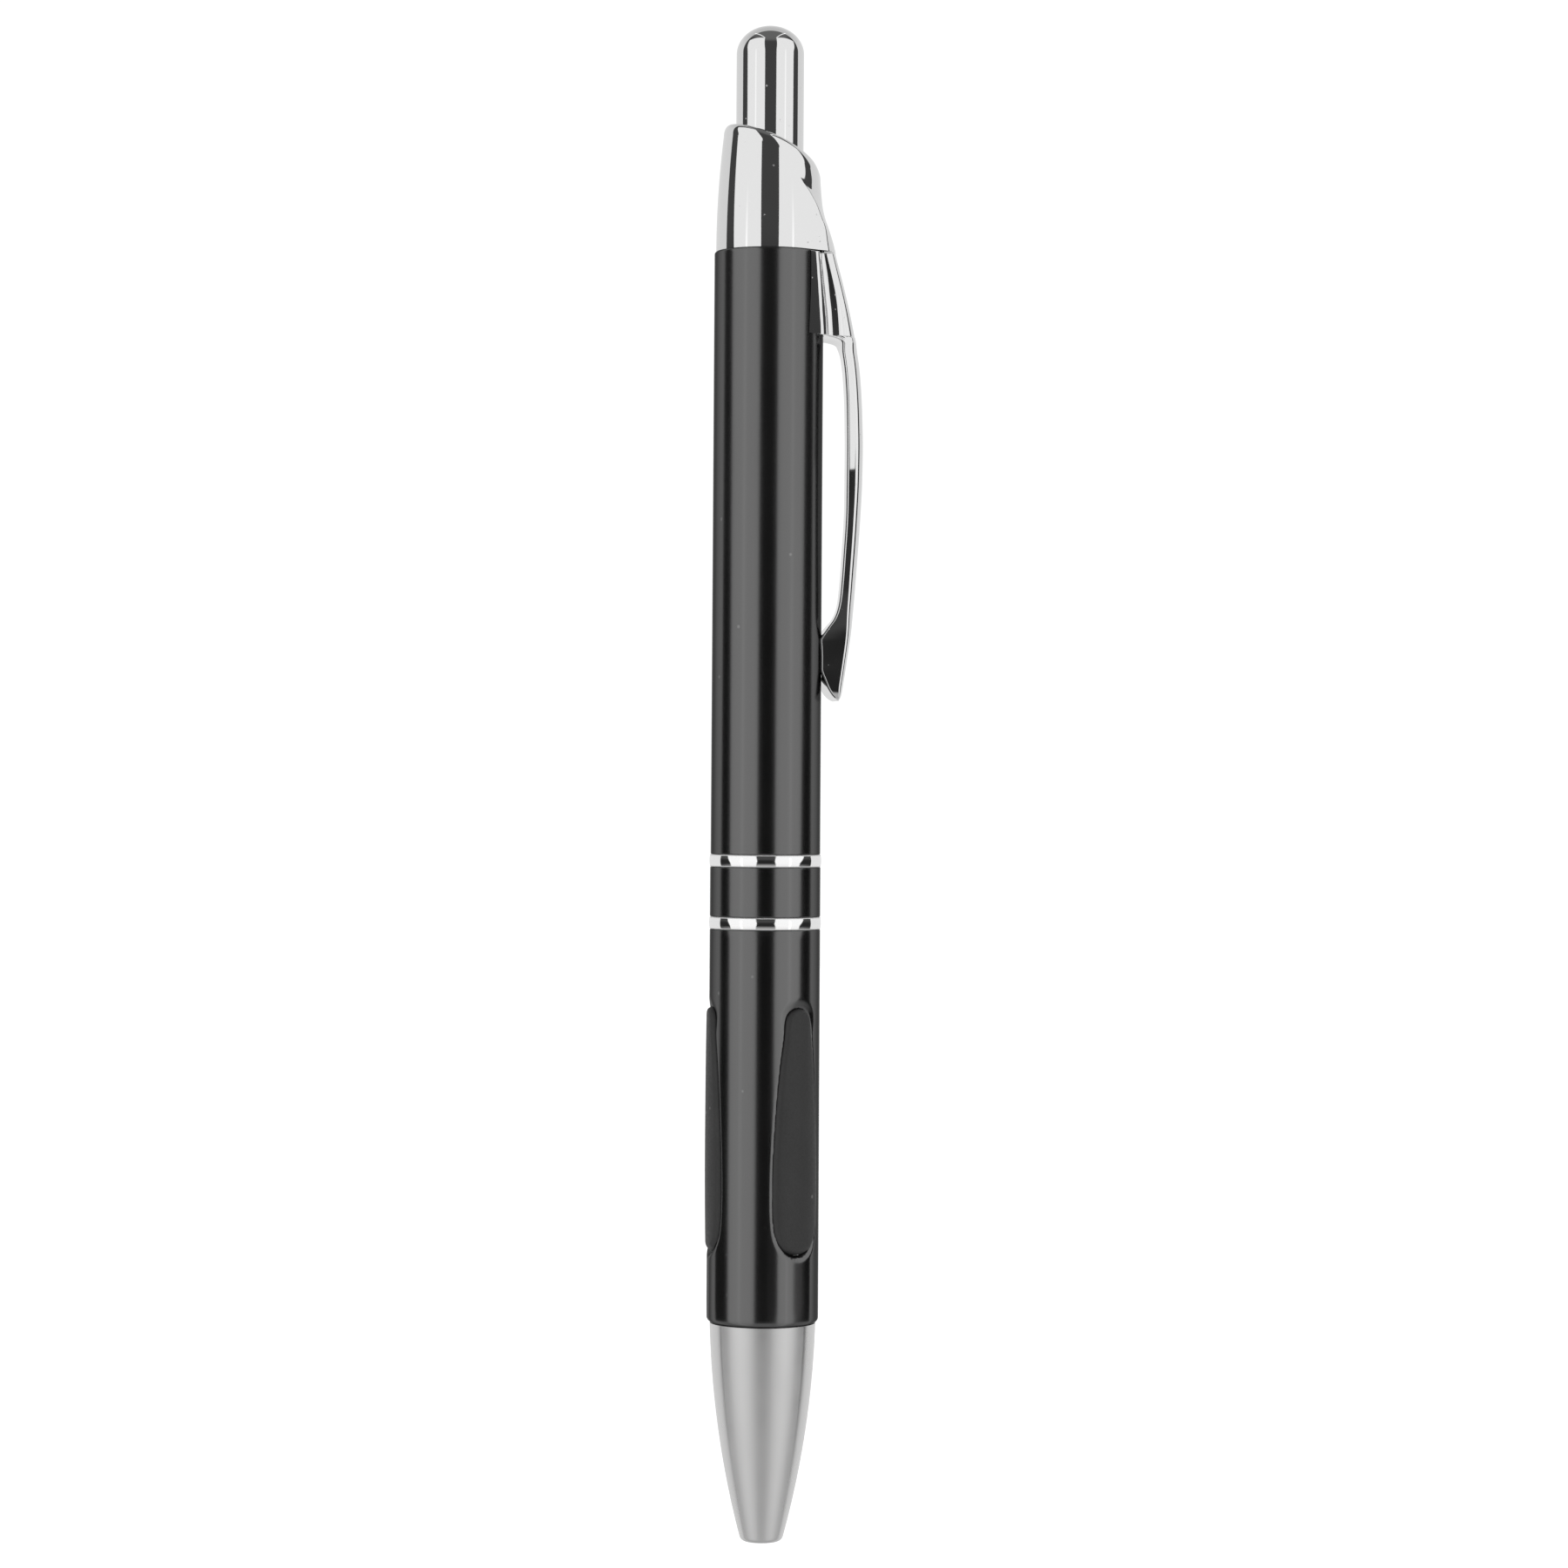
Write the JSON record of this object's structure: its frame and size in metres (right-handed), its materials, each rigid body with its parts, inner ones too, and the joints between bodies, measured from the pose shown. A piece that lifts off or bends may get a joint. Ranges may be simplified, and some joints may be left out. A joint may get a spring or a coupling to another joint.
{
  "type": "retractable ballpoint pen",
  "caption": "Push-button retractable ballpoint pen, black barrel, chromed button, collar and bowed clip, three rubber grip pads and a satin nose.",
  "frame": {"origin": "centre of the nose end, where the point comes out", "axes": "+Z along the pen's axis from the nose to the button, +X towards the pocket clip"},
  "size_m": [0.0143, 0.0108, 0.14],
  "materials": {
    "chrome": "polished chrome plating",
    "satin_chrome": "satin chrome plating",
    "black_lacquer": "gloss black lacquer on an aluminium tube",
    "trim_metal": "bright turned aluminium",
    "grip_rubber": "matte moulded rubber",
    "white_acetal": "moulded acetal",
    "grey_plastic": "moulded plastic",
    "refill_plastic": "translucent extruded tube",
    "ink": "thick dark ink",
    "grease": "clear amber grease",
    "point_metal": "turned brass",
    "ball_metal": "ground carbide ball",
    "spring_steel": "drawn spring wire"
  },
  "bodies": {
    "root": {"nose_cone": "satin_chrome", "lower_barrel": "black_lacquer", "grip_pad_1": "grip_rubber", "grip_pad_2": "grip_rubber", "grip_pad_3": "grip_rubber", "lower_liner": "grey_plastic", "barrel_coupler": "grey_plastic", "lower_trim_ring": "trim_metal", "centre_band": "black_lacquer", "upper_trim_ring": "trim_metal", "upper_barrel": "black_lacquer", "clip_collar": "chrome", "cam_guide": "white_acetal", "return_spring": "spring_steel"},
    "clip": {"pocket_clip": "chrome"},
    "button": {"button_cap": "chrome", "plunger": "white_acetal"},
    "refill": {"refill_tube": "refill_plastic", "ink_column": "ink", "ink_follower": "grease", "writing_point": "point_metal"},
    "rotor": {"cam_rotor": "white_acetal"},
    "ball": {"writing_ball": "ball_metal"}
  },
  "joints": [
    {"name": "button_press", "type": "slide", "parent": "root", "child": "button", "axis": [0, 0, -1], "range_m": [0, 0.0065], "stiffness_N_per_m": 250, "springref_m": -0.004},
    {"name": "refill_advance", "type": "slide", "parent": "root", "child": "refill", "axis": [0, 0, -1], "range_m": [0, 0.0065], "deforming": ["return_spring"]},
    {"name": "cam_turn", "type": "hinge", "parent": "refill", "child": "rotor", "pos_m": [0, 0, 0.11], "axis": [0, 0, 1], "range_deg": [0, 22.5]},
    {"name": "ball_roll", "type": "hinge", "parent": "refill", "child": "ball", "pos_m": [0, 0, 0.00295], "axis": [0, 1, 0], "continuous": true},
    {"name": "clip_flex", "type": "hinge", "parent": "root", "child": "clip", "pos_m": [0.0053, 0, 0.11895], "axis": [0, -1, 0], "range_deg": [0, 4], "stiffness_Nm_per_rad": 3, "springref_deg": -2.86}
  ],
  "couplings": [
    {"joint": "refill_advance", "follows": "button_press", "ratio": 1},
    {"joint": "cam_turn", "follows": "button_press", "rad_per_m": 60.415}
  ]
}
